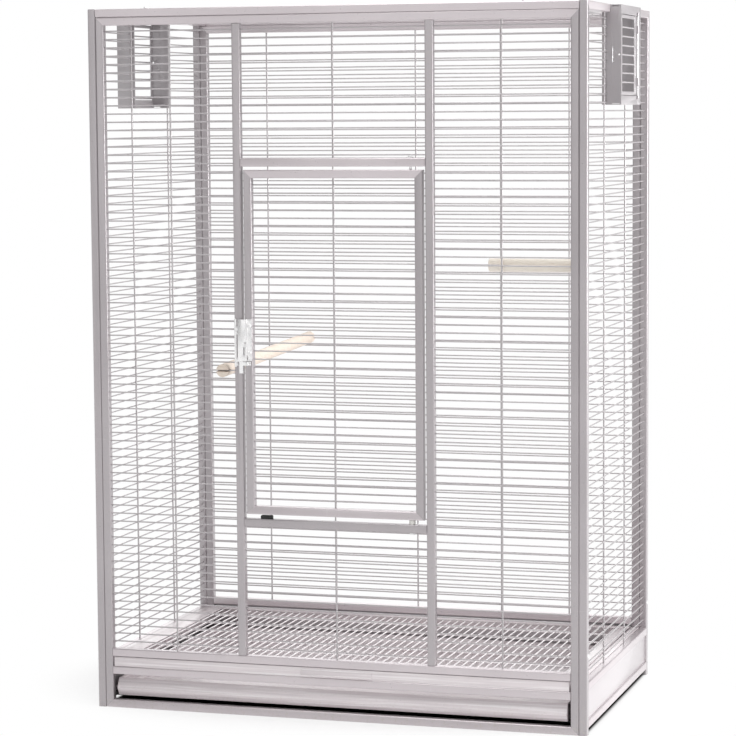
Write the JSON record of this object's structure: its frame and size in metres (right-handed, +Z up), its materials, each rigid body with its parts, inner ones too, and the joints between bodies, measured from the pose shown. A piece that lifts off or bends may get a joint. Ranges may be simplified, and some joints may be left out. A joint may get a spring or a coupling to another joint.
{
  "type": "flight bird cage",
  "caption": "Tall flight cage of framed wire panels with a latched front door, drawer grate over a drawer tray, barred side ports and clip-on perches.",
  "frame": {"origin": "on the floor, at the middle of the underside of the front panel's bottom rail", "axes": "+Z up, the front with its door faces -Y, +X to the right when facing the front"},
  "size_m": [0.8284, 0.4849, 1.0944],
  "materials": {
    "frame_coat": "satin pearl-grey powder coat with a fine hammered grain",
    "wire_coat": "satin pearl-grey powder coat on welded wire",
    "sheet_coat": "satin pearl-grey powder coat on folded sheet",
    "zinc": "bright zinc plate",
    "washer": "natural nylon",
    "bumper": "black rubber",
    "dowel": "bare pale hardwood dowel"
  },
  "bodies": {
    "cage": {"back_rails": "frame_coat", "back_skirt": "sheet_coat", "back_stiles": "frame_coat", "back_wires": "wire_coat", "base_rail_middle": "frame_coat", "base_rail_upper": "frame_coat", "corner_bolts": "zinc", "door_bumper": "bumper", "door_header": "frame_coat", "door_pivot_pins": "zinc", "door_pivot_washer": "washer", "door_post_left": "frame_coat", "door_post_right": "frame_coat", "door_sill": "frame_coat", "front_bottom_rail": "frame_coat", "front_stile_left": "frame_coat", "front_stile_right": "frame_coat", "front_top_rail": "frame_coat", "front_wires_above_door": "wire_coat", "front_wires_below_door": "wire_coat", "front_wires_left": "wire_coat", "front_wires_right": "wire_coat", "grate_ledges": "frame_coat", "latch_keeper": "zinc", "latch_keeper_rivets": "zinc", "perch_long": "dowel", "perch_short": "dowel", "port_catch_left": "zinc", "port_catch_right": "zinc", "port_frame_left": "sheet_coat", "port_frame_right": "sheet_coat", "port_hinge_rod_left": "zinc", "port_hinge_rod_right": "zinc", "roof_end_rails": "frame_coat", "roof_long_rails": "frame_coat", "roof_screws": "zinc", "roof_wires": "wire_coat", "side_posts_left": "frame_coat", "side_posts_right": "frame_coat", "side_rails_left": "frame_coat", "side_rails_right": "frame_coat", "side_skirt_left": "sheet_coat", "side_skirt_right": "sheet_coat", "side_wires_left": "wire_coat", "side_wires_right": "wire_coat", "tray_ledges": "frame_coat"},
    "door": {"door_bottom_rail": "frame_coat", "door_top_rail": "frame_coat", "door_stile_latch_side": "frame_coat", "door_stile_hinge_side": "frame_coat", "door_wires": "wire_coat", "latch_plate": "zinc", "latch_plate_rivets": "zinc"},
    "latch": {"latch_bolt": "zinc"},
    "grate": {"grate_frame": "frame_coat", "grate_wires": "wire_coat", "grate_pull": "frame_coat"},
    "tray": {"tray_pan": "sheet_coat"},
    "port_door_left": {"port_leaf_left": "sheet_coat"},
    "port_door_right": {"port_leaf_right": "sheet_coat"}
  },
  "joints": [
    {"name": "door_swing", "type": "hinge", "parent": "cage", "child": "door", "pos_m": [0.122, 0, 0.58], "axis": [0, 0, 1], "range_deg": [0, 120]},
    {"name": "latch_lift", "type": "slide", "parent": "door", "child": "latch", "axis": [0, 0, 1], "range_m": [0, 0.008]},
    {"name": "grate_pull_out", "type": "slide", "parent": "cage", "child": "grate", "axis": [0, -1, 0], "range_m": [0, 0.4]},
    {"name": "tray_pull_out", "type": "slide", "parent": "cage", "child": "tray", "axis": [0, -1, 0], "range_m": [0, 0.4]},
    {"name": "port_left_swing", "type": "hinge", "parent": "cage", "child": "port_door_left", "pos_m": [-0.4117, 0.18355, 1.0155], "axis": [0, 0, 1], "range_deg": [0, 110]},
    {"name": "port_right_swing", "type": "hinge", "parent": "cage", "child": "port_door_right", "pos_m": [0.4117, 0.27375, 1.0155], "axis": [0, 0, 1], "range_deg": [0, 110]}
  ]
}
